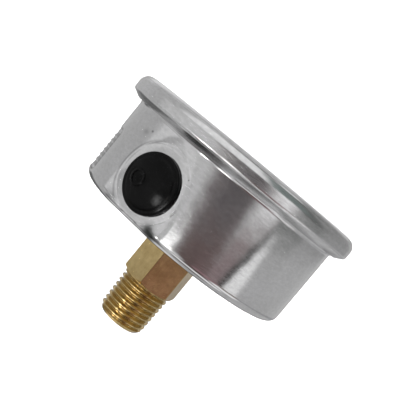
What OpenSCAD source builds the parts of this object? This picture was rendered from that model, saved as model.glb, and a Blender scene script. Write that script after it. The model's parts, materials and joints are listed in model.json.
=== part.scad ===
// Centre-back-mount dial pressure gauge with a fillable metal case.
// The parts are drawn looking at the dial: x to the right, y towards 12 o'clock, z towards the reader,
// with z = 0 at the inlet face of the thread. stand() then turns the gauge so that the dial faces -Y.

/* [Case] */
// Outer radius of the case barrel
case_r = 30.5; // [30.2:0.1:30.7]
// Sheet thickness of the case
case_wall = 0.8; // [0.6:0.1:1]
// Depth of the case from its back plane to its front rim
case_depth = 24.7; // [24.5:0.1:25]
// Outer radius of the rounded back corner
back_round = 2; // [1.5:0.1:2.5]
// Outer radius of the front rim that the bezel grips
rim_r = 33; // [32.5:0.1:33]

/* [Bezel and window] */
// Outer radius of the bezel ring
bezel_r = 34.1; // [34:0.1:34.5]
// Sheet thickness of the bezel ring
bezel_wall = 0.6; // [0.5:0.1:0.6]
// Distance of the bezel's rear face from the back plane
bezel_rear = 22.45; // [22.3:0.05:22.6]
// Distance of the bezel's front face from the back plane
bezel_front = 28.5; // [28.4:0.05:28.7]
// Radius of the bezel's front opening
window_r = 28.6; // [27:0.1:29.5]
// Thickness of the window
lens_t = 2; // [1.6:0.1:2.2]

/* [Fill plug] */
// Distance of the plug's axis from the back plane
plug_z = 9.7; // [9.4:0.1:9.8]
// Radius of the plug's flange
plug_r = 7.35; // [6.5:0.05:8]
// Radius of the plug's hole in the case
plug_hole_r = 5; // [4:0.1:5.2]
// Radius of the flat pad pressed into the case round the plug
pad_r = 8.9; // [8.5:0.1:9]
// Height of the pad's flat above the case axis, at the plug's axis
pad_y = 29.3; // [29.1:0.05:29.4]
// Lean of the pad and the plug towards the stem
pad_tilt = 4.5; // [3:0.5:6]

/* [Stem] */
// Outer radius of the pipe thread
thread_r = 6.85; // [6:0.05:6.9]
// Length of the pipe thread
thread_len = 12; // [10:0.5:13]
// Width of the wrench hexagon across its flats
hex_af = 14; // [14:0.5:15]
// Length of the wrench hexagon
hex_len = 13; // [12:0.5:14]
// Direction of one corner of the hexagon
hex_turn = 44; // [0:1:59]

/* [Movement] */
// Mean radius of the curved pressure tube
tube_r = 20.25; // [20:0.05:20.4]
// Tooth size (module) of the gear pair
gear_m = 0.25; // [0.25:0.01:0.25]
// Teeth on the pinion
pinion_teeth = 12; // [12:1:12]
// Teeth on a full circle of the sector gear
sector_teeth = 120; // [120:1:120]
// Angle that the sector swings from zero to full scale
sector_swing = 27; // [26:0.5:27]
// Length of the sector's tail arm
tail_len = 4.25; // [4.2:0.05:4.3]

/* [Dial and pointer] */
// Radius of the dial
dial_r = 27.9; // [26:0.1:27.9]
// Pointer angle at zero, from 12 o'clock, anticlockwise
zero_angle = 135; // [130:1:135]
// Length of the pointer from its axis to its tip
pointer_len = 21.5; // [18:0.5:23]

/* [Hidden] */
$fn = 96;
eps = 0.01;
fit = 0.02;
running = 0.05;

// Heights of the case and bezel along z
back_z = thread_len + hex_len;
rim_z = back_z + case_depth;
rim_t = 0.7;
bezel_z0 = back_z + bezel_rear;
bezel_z1 = back_z + bezel_front;
plug_axis_z = back_z + plug_z;

// Bezel section: rear cone and two rounded edges
shoulder_r = bezel_r - 2.35;
heel_round = 0.9;
heel_z = bezel_z0 + 1.85;
front_round = 2.6;
front_c = [bezel_r - front_round, bezel_z1 - front_round];
heel_c = [bezel_r - heel_round, heel_z];
lip_gap = 0.35;

// Window and its gasket
lens_r = 32.2;
gasket_lip = 0.6;
gasket_in_r = 30.6;
gasket_z0 = rim_z;
lens_z0 = gasket_z0 + gasket_lip;

// Stem, seal and nut
neck_r = 5.2;
spigot_r = 3.5;
spigot_z = 32;
inlet_r = 2.5;
inlet_len = 6;
restrictor_r = 1.8;
restrictor_len = 4;
passage_r = 1.2;
oring_r = 5.85;
oring_section = 0.48;
nut_af = 15;
nut_t = 3;

// Tube block between the stem and the tube's root
block_w = 11;
block_y0 = -23.5;
block_y1 = 6.5;
block_z0 = 29.4;
block_z1 = 37;
cross_z = 33.2;
cross_r = 1;
plug_len = 3;
passage_plug_r = 1.2;

// Curved tube of flattened section, from its free end round to its root at 6 o'clock
tube_start = -12;
tube_sweep = 282;
tube_half_w = 1;
tube_half_h = 3;
tube_wall = 0.4;
tube_z = 33.3;
chamber_angle = 3.5;

// The free end turns about the centroid of the tube's arc
flex_half = tube_sweep / 2;
flex_dir = tube_start + flex_half;
flex_c = tube_r * sin(flex_half) / (flex_half * PI / 180) * [cos(flex_dir), sin(flex_dir)];

// Tip block and link pin on the free end
tip_start = -20.5;
tip_sweep = 13.5;
tip_half_w = 1.45;
tip_z0 = 29.9;
tip_z1 = 36.7;
tip_p = [19.4, -6.2];
pin_r = 0.45;

// Gear pair
gear_t = 0.8;
gear_z = 39.6;
sector_r = gear_m * sector_teeth / 2;
pinion_r = gear_m * pinion_teeth / 2;
centre_dist = sector_r + pinion_r;
sector_dir = -54;
sector_p = centre_dist * [cos(sector_dir), sin(sector_dir)];
mesh_dir = sector_dir + 180;
pressure_angle = 20;
backlash = 0.03;
pinion_add = 0.2;
pinion_ded = 0.3;
sector_add = 0.19;
sector_ded = 0.27;
tooth_side = 2;
swing_half = sector_swing / 2;
sector_span = 12;
arbor_r = 0.8;
staff_r = 0.6;

// Tail arm of the sector: mid-stroke direction, then turned back to its rest place
tail_dir = -11 - swing_half;
tail_p = sector_p + tail_len * [cos(tail_dir), sin(tail_dir)];
link_z = 40.6;
link_t = 0.6;
open_clearance = 0.17;

// Pins that the link turns on
tip_pin_z0 = tip_z1 - 3;
pin_z1 = link_z + link_t + 0.3;

// Movement plates
base_z = block_z1;
base_t = 1;
top_z = 42.2;
top_t = 0.8;
arm_w = 5;
pillar_ps = [[-7.5, 4.5], [4.5, -19], [12, -4.5]];
pillar_r = 1.25;
post_ps = [[-11, 4], [11, 4]];
post_r = 1.5;
screw_ps = [[-3, -15.5], [3, 4.5]];
small_screw_r = 0.7;
mount_screw_r = 1;

// Hairspring round the pinion staff
spring_r0 = 1.95;
spring_pitch = 0.8;
spring_turns = 4;
spring_t = 0.12;
spring_h = 0.5;
spring_z = 41.3;
spring_steps = 20;
collet_r = 1.9;

// Dial, pointer and stop
dial_z = 45;
dial_t = 0.5;
pointer_z = 46.9;
pointer_t = 0.3;
pointer_tail = 8;
hub_r = 2;
hub_z0 = 46.4;
hub_z1 = 48.2;
stop_r = 0.5;
stop_radius = 16;
stop_angle = 90 + zero_angle + 5.5;

function arc(c, r, a0, a1, n) = [for (i = [0:n]) let (a = a0 + (a1 - a0) * i / n) c + r * [cos(a), sin(a)]];
function polar(r, a) = r * [cos(a), sin(a)];
function involute(a) = tan(a) * 180 / PI - a;
function tooth_half(teeth, r) = let (pitch = gear_m * teeth / 2, base = pitch * cos(pressure_angle))
    90 / teeth + involute(pressure_angle) - involute(acos(min(1, base / r))) - backlash / r * 180 / PI;
function tooth_radii(teeth, add, ded) = let (pitch = gear_m * teeth / 2, tip = pitch + add,
    root = pitch - ded, low = max(root, pitch * cos(pressure_angle)))
    [root, for (i = [0:tooth_side]) low + (tip - low) * i / tooth_side];
function tooth(teeth, add, ded, a) = let (rs = tooth_radii(teeth, add, ded), n = len(rs) - 1)
    [for (r = rs) polar(r, a - tooth_half(teeth, max(r, rs[1]))),
     for (i = [n:-1:0]) polar(rs[i], a + tooth_half(teeth, max(rs[i], rs[1])))];
function flat_list(ls) = [for (l = ls) for (p = l) p];

module stand() { rotate([90, 0, 0]) children(); }

// Stands children on the pad's flat, with their z along the fill plug's axis
module on_pad() { translate([0, pad_y, plug_axis_z]) rotate([-90 - pad_tilt, 0, 0]) children(); }

module hexagon(af, h, turn) { rotate(turn) cylinder(r = af / 2 / cos(30), h = h, $fn = 6); }

// Straight bar from p to q, whose ends lie inside the eyes or rims that it joins
module bar(p, q, w) {
    d = q - p;
    translate(p) rotate(atan2(d[1], d[0])) translate([0, -w / 2]) square([norm(d), w]);
}

module disc_at(p, r, z, h) { translate([p[0], p[1], z]) cylinder(r = r, h = h); }

module case_solid() {
    rotate_extrude() {
        square_z = back_z + back_round;
        translate([0, back_z]) square([case_r - back_round, case_depth]);
        translate([0, square_z]) square([case_r, case_depth - back_round]);
        translate([case_r - back_round, square_z]) circle(r = back_round);
    }
}

module case_hollow() {
    in_r = case_r - case_wall;
    in_round = back_round - case_wall;
    z0 = back_z + case_wall;
    rotate_extrude() {
        translate([0, z0]) square([in_r - in_round, case_depth]);
        translate([0, z0 + in_round]) square([in_r, case_depth]);
        translate([in_r - in_round, z0 + in_round]) circle(r = in_round);
    }
}

module case_rim() {
    translate([0, 0, rim_z - rim_t]) difference() {
        cylinder(r = rim_r, h = rim_t);
        translate([0, 0, -eps]) cylinder(r = case_r - case_wall, h = rim_t + 2 * eps);
    }
}

// What the flat pad takes off the case, or with an inset of the sheet's thickness, off its hollow
module pad_press(inset) { on_pad() translate([0, 0, -inset]) cylinder(r = pad_r + inset, h = 4); }

module case() {
    color("silver") difference() {
        union() {
            difference() {
                case_solid();
                pad_press(0);
                difference() {
                    case_hollow();
                    pad_press(case_wall);
                }
            }
            case_rim();
        }
        translate([0, 0, back_z - 1]) cylinder(r = neck_r + running, h = 3);
        on_pad() translate([0, 0, -2]) cylinder(r = plug_hole_r, h = 3);
    }
}

module bezel_ring() {
    lip_r = case_r + lip_gap;
    in = bezel_wall;
    outer = concat([[lip_r, bezel_z0], [shoulder_r, bezel_z0]], arc(heel_c, heel_round, -50, 0, 5),
        arc(front_c, front_round, 0, 90, 8), [[window_r, bezel_z1]]);
    inner = concat([[window_r, bezel_z1 - in]], arc(front_c, front_round - in, 90, 0, 8),
        arc(heel_c, heel_round - in, 0, -50, 4),
        [[shoulder_r - 0.15, bezel_z0 + in], [lip_r, bezel_z0 + in]]);
    color("gainsboro") rotate_extrude($fn = 128) polygon(concat(outer, inner));
}

module lens() {
    color("lightcyan", 0.35) translate([0, 0, lens_z0]) cylinder(r = lens_r, h = lens_t);
}

module lens_gasket() {
    skin = 0.1;
    edge = front_round - bezel_wall - skin;
    outline = concat([[gasket_in_r, gasket_z0], [bezel_r - bezel_wall - skin, gasket_z0]],
        arc(front_c, edge, 0, 90, 6), [[gasket_in_r, front_c[1] + edge]]);
    color("dimgray") rotate_extrude() difference() {
        polygon(outline);
        translate([0, lens_z0 - fit]) square([lens_r + fit, lens_t + 2 * fit]);
    }
}

module fill_plug() {
    foot = running;
    dome = 1.2;
    dome_r = (plug_r * plug_r + dome * dome) / (2 * dome);
    rise = 0.9;
    stem_bottom = -4.4;
    color([0.05, 0.05, 0.06]) on_pad() {
        translate([0, 0, foot]) cylinder(r = plug_r, h = rise);
        intersection() {
            translate([0, 0, foot + rise + dome - dome_r]) sphere(r = dome_r);
            translate([0, 0, foot + rise - eps]) cylinder(r = plug_r - 0.2, h = dome + 1);
        }
        difference() {
            translate([0, 0, stem_bottom]) cylinder(r = plug_hole_r - running, h = foot - stem_bottom + eps);
            translate([0, 0, stem_bottom - 1]) cylinder(r = plug_hole_r - 1.6, h = 4);
        }
    }
}

module stem() {
    chamfer = 1;
    color("goldenrod") difference() {
        union() {
            cylinder(r1 = thread_r - chamfer, r2 = thread_r, h = chamfer);
            translate([0, 0, chamfer]) cylinder(r = thread_r, h = thread_len - chamfer);
            intersection() {
                translate([0, 0, thread_len]) hexagon(hex_af, hex_len, hex_turn);
                translate([0, 0, thread_len]) hex_turning();
            }
            translate([0, 0, back_z]) cylinder(r = neck_r, h = block_z0 - back_z - 0.2);
            translate([0, 0, back_z]) cylinder(r = spigot_r, h = spigot_z - back_z);
        }
        translate([0, 0, -1]) cylinder(r = inlet_r, h = inlet_len + 1);
        translate([0, 0, inlet_len - 1]) cylinder(r = restrictor_r, h = restrictor_len + 1);
        translate([0, 0, inlet_len]) cylinder(r = passage_r, h = spigot_z);
        translate([0, 0, back_z - 2 * oring_section - fit]) difference() {
            cylinder(r = oring_r + oring_section + fit, h = 2);
            translate([0, 0, -1]) cylinder(r = neck_r, h = 4);
        }
    }
}

// Turned envelope that takes the corners off both ends of the hexagon
module hex_turning() {
    corner = hex_af / 2 / cos(30);
    face = hex_af / 2 + 0.05;
    drop = (corner - face) * tan(30);
    cylinder(r1 = face, r2 = corner, h = drop);
    translate([0, 0, drop - eps]) cylinder(r = corner + eps, h = hex_len - 2 * drop + 2 * eps);
    translate([0, 0, hex_len - drop]) cylinder(r1 = corner, r2 = face, h = drop);
}

module stem_oring() {
    color("black") translate([0, 0, back_z - oring_section]) rotate_extrude()
        translate([oring_r, 0]) circle(r = oring_section, $fn = 32);
}

module stem_locknut() {
    color("goldenrod") translate([0, 0, back_z + case_wall]) difference() {
        hexagon(nut_af, nut_t, hex_turn);
        translate([0, 0, -1]) cylinder(r = neck_r + fit, h = nut_t + 2);
    }
}

module restrictor_screw() {
    orifice_r = 0.25;
    color("darkgoldenrod") translate([0, 0, inlet_len]) difference() {
        cylinder(r = restrictor_r - fit, h = restrictor_len - fit);
        translate([0, 0, -1]) cylinder(r = orifice_r, h = restrictor_len + 2);
        translate([-3, -0.25, -1]) cube([6, 0.5, 1.6]);
    }
}

module tube_section(grow) {
    c = tube_half_h - tube_half_w;
    for (s = [-1, 1]) translate([tube_r, s * c]) circle(r = tube_half_w + grow, $fn = 48);
    translate([tube_r - tube_half_w - grow, -c]) square([2 * (tube_half_w + grow), 2 * c]);
}

module tube_sweep_solid(grow, start, sweep) {
    translate([0, 0, tube_z]) rotate_extrude(start = start, angle = sweep) tube_section(grow);
}

module tube_block() {
    color("goldenrod") difference() {
        translate([-block_w / 2, block_y0, block_z0])
            cube([block_w, block_y1 - block_y0, block_z1 - block_z0]);
        translate([0, 0, block_z0 - 1]) cylinder(r = spigot_r + fit, h = spigot_z - block_z0 + 1 + fit);
        translate([0, 0, block_z0]) cylinder(r = passage_r, h = cross_z - block_z0);
        translate([0, block_y1 + 1, cross_z]) rotate([90, 0, 0]) {
            cylinder(r = cross_r, h = tube_r + block_y1 + 1);
            cylinder(r = passage_plug_r + fit, h = plug_len + 1);
        }
        tube_sweep_solid(fit, 240, 30 + chamber_angle);
        for (p = screw_ps) disc_at(p, mount_screw_r + fit, block_z1 - 4.5, 5);
    }
}

module passage_plug() {
    color("darkgoldenrod") translate([0, block_y1, cross_z]) rotate([90, 0, 0])
        cylinder(r = passage_plug_r, h = plug_len - fit);
}

module bourdon_tube() {
    color("peru") difference() {
        tube_sweep_solid(0, tube_start, tube_sweep);
        tube_sweep_solid(-tube_wall, tube_start - 1, tube_sweep + 2);
    }
}

module tube_tip() {
    color("goldenrod") difference() {
        translate([0, 0, tip_z0]) rotate_extrude(start = tip_start, angle = tip_sweep)
            translate([tube_r - tip_half_w, 0]) square([2 * tip_half_w, tip_z1 - tip_z0]);
        tube_sweep_solid(running, tube_start - 0.2, 20);
        disc_at(tip_p, pin_r + fit, tip_pin_z0 - fit, 4);
    }
}

module tip_pin() { color("silver") disc_at(tip_p, pin_r, tip_pin_z0, pin_z1 - tip_pin_z0); }

module tail_pin() { color("silver") disc_at(tail_p, pin_r, gear_z, pin_z1 - gear_z); }

module link() {
    color("gold") translate([0, 0, link_z]) linear_extrude(link_t) difference() {
        union() {
            bar(tip_p, tail_p, 1.4);
            translate(tip_p) circle(r = 1.3);
            translate(tail_p) circle(r = 1.3);
        }
        translate(tip_p) circle(r = pin_r + running);
        translate(tail_p) circle(r = pin_r + open_clearance);
    }
}

module pinion_staff() {
    turn = mesh_dir + 180 + 180 / pinion_teeth + swing_half * sector_teeth / pinion_teeth;
    color("silver") {
        disc_at([0, 0], staff_r, base_z + 0.2, hub_z1 - base_z - 0.9);
        translate([0, 0, gear_z - 0.4]) linear_extrude(gear_t + 0.8)
            polygon(flat_list([for (i = [0:pinion_teeth - 1])
                tooth(pinion_teeth, pinion_add, pinion_ded, turn + i * 360 / pinion_teeth)]));
    }
}

module sector_gear() {
    pitch = 360 / sector_teeth;
    half = floor(sector_span / 2);
    rim_in = sector_r - 2.2;
    a0 = mesh_dir - swing_half;
    edge = (half + 0.5) * pitch;
    spoke = edge - 2.5;
    teeth = flat_list([for (i = [-half:half]) tooth(sector_teeth, sector_add, sector_ded, a0 + i * pitch)]);
    rim_back = arc([0, 0], rim_in, a0 + edge, a0 - edge, 12);
    color("gold") translate([0, 0, gear_z]) linear_extrude(gear_t) difference() {
        union() {
            translate(sector_p) polygon(concat(teeth, rim_back));
            for (s = [-1, 1]) bar(sector_p, sector_p + polar(rim_in + 0.6, a0 + s * spoke), 1.3);
            translate(sector_p) circle(r = 2.2);
            bar(sector_p, tail_p, 2);
            translate(tail_p) circle(r = 1.2);
        }
        translate(sector_p) circle(r = arbor_r + fit);
        translate(tail_p) circle(r = pin_r + fit);
    }
}

module sector_arbor() {
    color("silver") disc_at(sector_p, arbor_r, base_z + 0.2, top_z + top_t - base_z - 0.2);
}

module hairspring() {
    steps = spring_turns * spring_steps;
    side = function (s) [for (i = [0:steps])
        polar(spring_r0 + spring_pitch * i / spring_steps + s, 360 * i / spring_steps)];
    back = side(spring_t);
    color("darkgray") translate([0, 0, spring_z]) linear_extrude(spring_h)
        polygon(concat(side(0), [for (i = [steps:-1:0]) back[i]]));
}

module hairspring_collet() {
    color("gold") translate([0, 0, spring_z - 0.1]) difference() {
        cylinder(r = collet_r, h = spring_h + 0.2);
        translate([0, 0, -1]) cylinder(r = staff_r + fit, h = 3);
    }
}

module hairspring_stud() {
    end_r = spring_r0 + spring_pitch * spring_turns;
    color("gold") translate([end_r - 0.5, fit, spring_z - 0.1]) cube([1.2, 1.2, top_z - spring_z + 0.1]);
}

module plate_outline() {
    ps = concat([[0, 0]], pillar_ps, [sector_p]);
    for (p = ps) translate(p) circle(d = arm_w + 1);
    for (i = [1:len(ps) - 1]) bar([0, 0], ps[i], arm_w);
    bar(pillar_ps[1], sector_p, arm_w - 1);
    bar(pillar_ps[2], sector_p, arm_w - 1);
}

module base_plate() {
    color("gold") translate([0, 0, base_z]) linear_extrude(base_t) difference() {
        union() {
            plate_outline();
            translate([-block_w / 2, block_y0 + 1]) square([block_w, block_y1 - block_y0 - 1]);
        }
        circle(r = staff_r + running);
        translate(sector_p) circle(r = arbor_r + running);
        for (p = screw_ps) translate(p) circle(r = mount_screw_r + running);
        for (p = pillar_ps) translate(p) circle(r = small_screw_r + fit);
    }
}

module top_plate() {
    color("gold") translate([0, 0, top_z]) linear_extrude(top_t) difference() {
        union() {
            plate_outline();
            for (p = post_ps) translate(p) circle(d = arm_w + 1);
            for (p = post_ps) bar([0, 0], p, arm_w - 1.5);
        }
        circle(r = staff_r + running);
        translate(sector_p) circle(r = arbor_r + running);
        for (p = pillar_ps) translate(p) circle(r = small_screw_r + fit);
        for (p = post_ps) translate(p) circle(r = small_screw_r + fit);
    }
}

module pillars() {
    z0 = base_z + base_t;
    color("gold") for (p = pillar_ps) difference() {
        disc_at(p, pillar_r, z0, top_z - z0);
        disc_at(p, small_screw_r + fit, z0 - 1, top_z - z0 + 2);
    }
}

// Slotted cheese-head screw: head above z, shank below it
module screw(p, z, shank_r, shank_len, head_r, head_h) {
    slot_w = head_r * 0.3;
    difference() {
        union() {
            disc_at(p, head_r, z, head_h);
            disc_at(p, shank_r, z - shank_len, shank_len + eps);
        }
        translate([p[0] - head_r - 1, p[1] - slot_w / 2, z + head_h * 0.55])
            cube([2 * head_r + 2, slot_w, head_h]);
    }
}

module plate_screws() {
    color("silver") for (p = pillar_ps) screw(p, top_z + top_t, small_screw_r, 4, 1.3, 0.8);
}

module movement_screws() {
    color("silver") for (p = screw_ps) screw(p, base_z + base_t, mount_screw_r, base_t + 4, 1.9, 1.2);
}

module dial() {
    color("white") translate([0, 0, dial_z]) linear_extrude(dial_t) difference() {
        circle(r = dial_r);
        circle(r = hub_r);
        for (p = post_ps) translate(p) circle(r = small_screw_r + fit);
        rotate(stop_angle) translate([stop_radius, 0]) circle(r = stop_r + fit);
    }
}

module dial_posts() {
    z0 = top_z + top_t;
    color("gold") for (p = post_ps) difference() {
        disc_at(p, post_r, z0, dial_z - z0);
        disc_at(p, small_screw_r + fit, z0 - 1, dial_z - z0 + 2);
    }
}

module dial_screws() {
    color("black") for (p = post_ps) screw(p, dial_z + dial_t, small_screw_r, 2.2, 1.6, 0.6);
}

module stop_pin() {
    z0 = dial_z - 0.3;
    z1 = pointer_z + pointer_t + 0.3;
    color("silver") rotate(stop_angle) translate([stop_radius, 0, z0]) cylinder(r = stop_r, h = z1 - z0);
}

module pointer() {
    tail_w = 1.3;
    half = [[0, -1.5], [pointer_len - 5, -0.7], [pointer_len, -0.15]];
    blade = concat(half, [for (i = [2:-1:0]) [half[i][0], -half[i][1]]]);
    color("black") translate([0, 0, pointer_z]) rotate(90 + zero_angle) linear_extrude(pointer_t) difference() {
        union() {
            polygon(blade);
            circle(r = hub_r + 1);
            translate([-pointer_tail, -tail_w / 2]) square([pointer_tail, tail_w]);
            translate([-pointer_tail, 0]) circle(r = 2);
        }
        circle(r = hub_r + fit);
    }
}

module pointer_hub() {
    color("black") difference() {
        union() {
            disc_at([0, 0], hub_r, hub_z0, hub_z1 - hub_z0);
            disc_at([0, 0], hub_r + 0.6, pointer_z + pointer_t, hub_z1 - pointer_z - pointer_t - 0.3);
        }
        disc_at([0, 0], staff_r + fit, hub_z0 - 1, hub_z1 - hub_z0 + 0.4);
    }
}

stand() case();
stand() bezel_ring();
stand() lens();
stand() lens_gasket();
stand() fill_plug();
stand() stem();
stand() stem_oring();
stand() stem_locknut();
stand() restrictor_screw();
stand() tube_block();
stand() passage_plug();
stand() bourdon_tube();
stand() tube_tip();
stand() tip_pin();
stand() link();
stand() sector_gear();
stand() sector_arbor();
stand() tail_pin();
stand() pinion_staff();
stand() hairspring();
stand() hairspring_collet();
stand() hairspring_stud();
stand() base_plate();
stand() top_plate();
stand() pillars();
stand() plate_screws();
stand() movement_screws();
stand() dial();
stand() dial_posts();
stand() dial_screws();
stand() stop_pin();
stand() pointer();
stand() pointer_hub();
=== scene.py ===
import json
import math

import bmesh
import bpy
from mathutils import Matrix, Vector


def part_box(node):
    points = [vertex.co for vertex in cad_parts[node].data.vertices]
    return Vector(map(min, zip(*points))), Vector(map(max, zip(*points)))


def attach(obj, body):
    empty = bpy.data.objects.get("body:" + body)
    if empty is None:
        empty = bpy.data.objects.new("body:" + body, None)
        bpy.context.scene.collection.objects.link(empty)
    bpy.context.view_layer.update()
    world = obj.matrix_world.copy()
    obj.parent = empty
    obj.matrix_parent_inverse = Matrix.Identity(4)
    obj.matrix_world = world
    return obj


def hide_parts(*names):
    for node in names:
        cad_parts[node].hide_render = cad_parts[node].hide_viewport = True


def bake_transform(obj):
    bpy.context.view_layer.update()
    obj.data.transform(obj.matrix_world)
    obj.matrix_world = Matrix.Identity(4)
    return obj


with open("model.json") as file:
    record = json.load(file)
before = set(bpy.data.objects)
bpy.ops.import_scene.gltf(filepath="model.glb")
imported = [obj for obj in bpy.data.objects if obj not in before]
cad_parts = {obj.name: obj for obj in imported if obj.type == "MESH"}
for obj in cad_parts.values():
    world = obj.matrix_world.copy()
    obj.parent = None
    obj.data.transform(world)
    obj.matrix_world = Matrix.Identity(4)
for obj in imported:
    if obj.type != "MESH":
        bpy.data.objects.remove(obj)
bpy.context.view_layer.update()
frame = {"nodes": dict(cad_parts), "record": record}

# ------------------------------------------------------------------ sizes
# The gauge is worked out in its own millimetres: x to the right of the dial, y towards 12 o'clock,
# z from the inlet face towards the reader. row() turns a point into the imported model's frame.
# A name that ends in _R is a radius, and one in _Z, _Z0 or _Z1 a height over the inlet face.
MM = 0.001
TAU = 2 * math.pi


def row(x, y, z):
    return Vector((x, -z, y)) * MM


def gauge_box(node):
    """Low and high corner of a CAD node, in the gauge's millimetres."""
    low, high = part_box(node)
    return (low.x / MM, low.z / MM, -high.y / MM), (high.x / MM, high.z / MM, -low.y / MM)


(_, _, BACK_Z), (RIM_R, _, RIM_Z) = gauge_box("case")
(_, _, BEZEL_Z0), (BEZEL_R, _, BEZEL_Z1) = gauge_box("bezel_ring")
(_, _, LENS_Z0), (LENS_R, _, LENS_Z1) = gauge_box("lens")
(_, _, _), (PLUG_R, _, _) = gauge_box("fill_plug")
(_, _, _), (_, _, DIAL_Z1) = gauge_box("dial")
(_, _, POINTER_Z0), (_, _, POINTER_Z1) = gauge_box("pointer")
(_, _, HUB_Z0), (_, _, HUB_Z1) = gauge_box("pointer_hub")
(_, _, _), (_, _, STEM_Z1) = gauge_box("stem")

# the case, and the pad pressed into its side round the fill hole
CASE_R = 30.5
CASE_WALL = 0.8
CORNER_R = 2.0
FLANGE_Z = RIM_Z - 1.5
PAD_Y = 29.3
PAD_TILT = math.radians(4.5)
PAD_FLAT_R = 8.7
PAD_EDGE_R = 13.5
PAD_SIDE_Y = 15
PAD_A0, PAD_A1 = math.radians(66), math.radians(114)

# the fill plug; PLUG_FOOT, PLUG_TOP and PLUG_END are heights over the pad
PLUG_Z = BACK_Z + 9.7
PLUG_HOLE_R = 5.0
PLUG_FOOT = 0.05
PLUG_EDGE_H = 0.9
DOME_H = 1.2
PLUG_TOP = PLUG_FOOT + PLUG_EDGE_H + DOME_H
PLUG_END = -4.4
PLUG_HOLLOW = 3.0

# the stem from its inlet face up, and the passage through it
THREAD_LEN = 12.0
THREAD_R = 6.85
THREAD_PITCH = 25.4 / 18
THREAD_DEPTH = 0.95
HEX_LEN = 13.0
HEX_AF = 14.0
HEX_TURN = math.radians(44)
GROOVE_R = 6.35
GROOVE_Z = BACK_Z - 0.98
NECK_R = 5.2
NECK_Z1 = 29.2
SPIGOT_R = 3.5
STEM_HOLE_R = NECK_R + 0.05
INLET_R = 2.5
INLET_DEPTH = 6.0
RESTRICTOR_R = 1.8
RESTRICTOR_Z1 = 10.0
PASSAGE_R = 1.2


def on_pad(x, height, along):
    """A point over the pad: height above its flat, and distance along it towards the dial."""
    c, s = math.cos(PAD_TILT), math.sin(PAD_TILT)
    return (x, PAD_Y + height * c + along * s, PLUG_Z - height * s + along * c)


# ------------------------------------------------------------------ camera
CAMERA_PLACE = Vector((-0.088921, -0.049999, 0.173012))
CAMERA_BACK = Vector((-0.458473, -0.067676, 0.886128))
CAMERA_UP = Vector((0.589538, -0.769283, 0.246269))
CAMERA_LENS = 66.12
CAMERA_SENSOR = 36


def make_camera():
    """The photograph's viewpoint, fitted to the outline of the gauge; the lens is in millimetres."""
    data = bpy.data.cameras.new("camera")
    data.lens = CAMERA_LENS
    data.sensor_width = CAMERA_SENSOR
    data.clip_start = 0.002
    data.clip_end = 20
    camera = bpy.data.objects.new("camera", data)
    bpy.context.scene.collection.objects.link(camera)
    back = CAMERA_BACK.normalized()
    right = CAMERA_UP.cross(back).normalized()
    up = back.cross(right)
    turn = Matrix((right, up, back)).transposed().to_4x4()
    camera.matrix_world = Matrix.Translation(CAMERA_PLACE) @ turn
    bpy.context.scene.camera = camera


make_camera()


# ------------------------------------------------------------------ mesh helpers
def turn_faces_out(mesh):
    work = bmesh.new()
    work.from_mesh(mesh)
    bmesh.ops.recalc_face_normals(work, faces=work.faces)
    work.to_mesh(mesh)
    work.free()


def add_mesh(name, points, faces, material, sharp=35):
    """A mesh object from gauge-frame points in millimetres."""
    mesh = bpy.data.meshes.new(name)
    mesh.from_pydata([row(*p) for p in points], [], faces)
    mesh.validate()
    turn_faces_out(mesh)
    mesh.polygons.foreach_set("use_smooth", [True] * len(mesh.polygons))
    mesh.set_sharp_from_angle(angle=math.radians(sharp))
    mesh.materials.append(material)
    made = bpy.data.objects.new(name, mesh)
    bpy.context.scene.collection.objects.link(made)
    return made


def finish_piece(piece, body, slot, *nodes):
    """Puts a piece on its body and hides the CAD nodes that it stands for; the slot is not used."""
    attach(piece, body)
    if nodes:
        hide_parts(*nodes)


def ring_faces(rows, columns, closed_rows):
    """Faces between rows of points that each run round; the last row may join the first."""
    faces = []
    last = rows if closed_rows else rows - 1
    for i in range(last):
        for j in range(columns):
            a = i * columns + j
            b = i * columns + (j + 1) % columns
            c = ((i + 1) % rows) * columns + (j + 1) % columns
            d = ((i + 1) % rows) * columns + j
            faces.append((a, b, c, d))
    return faces


def close_on_axis(points, faces, rows, count, start, end):
    """Closes the first and the last row of a lathed piece with a point on its axis."""
    first, last = len(points), len(points) + 1
    points += [start, end]
    bottom = (rows - 1) * count
    for j in range(count):
        k = (j + 1) % count
        faces.append((first, k, j))
        faces.append((last, bottom + j, bottom + k))


def lathe_points(profile, angles):
    """The points of a profile in (radius, z), turned round the gauge's axis."""
    return [(r * math.cos(a), r * math.sin(a), z) for r, z in profile for a in angles]


def turns(count):
    """Even angles round a full turn."""
    return [TAU * i / count for i in range(count)]


def ring_piece(name, profile, material, count=192, sharp=35):
    """A closed ring: the profile is a closed outline in (radius, z)."""
    points = lathe_points(profile, turns(count))
    return add_mesh(name, points, ring_faces(len(profile), count, True), material, sharp)


def arc(cx, cz, r, a0, a1, n):
    """Points on an arc, angles in degrees."""
    out = []
    for i in range(n + 1):
        a = math.radians(a0 + (a1 - a0) * i / n)
        out.append((cx + r * math.cos(a), cz + r * math.sin(a)))
    return out


def steps(a, b, step):
    """Even steps from a to b, as near to the wanted step as they fit."""
    n = max(1, round(abs(b - a) / step))
    return [a + (b - a) * i / n for i in range(n + 1)]


def smooth(t):
    """Rises from 0 to 1 as t goes from 0 to 1, level at both ends."""
    t = min(1.0, max(0.0, t))
    return t * t * (3 - 2 * t)


def soft_min(a, b, k):
    """The smaller of two values, rounded over a span k where they cross."""
    h = max(k - abs(a - b), 0.0) / k
    return min(a, b) - h * h * k / 4


def hill(across, along=0.0):
    """1 in the middle of a smooth hill; both distances are in widths of the hill."""
    return math.exp(-across ** 2 - along ** 2)


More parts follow.
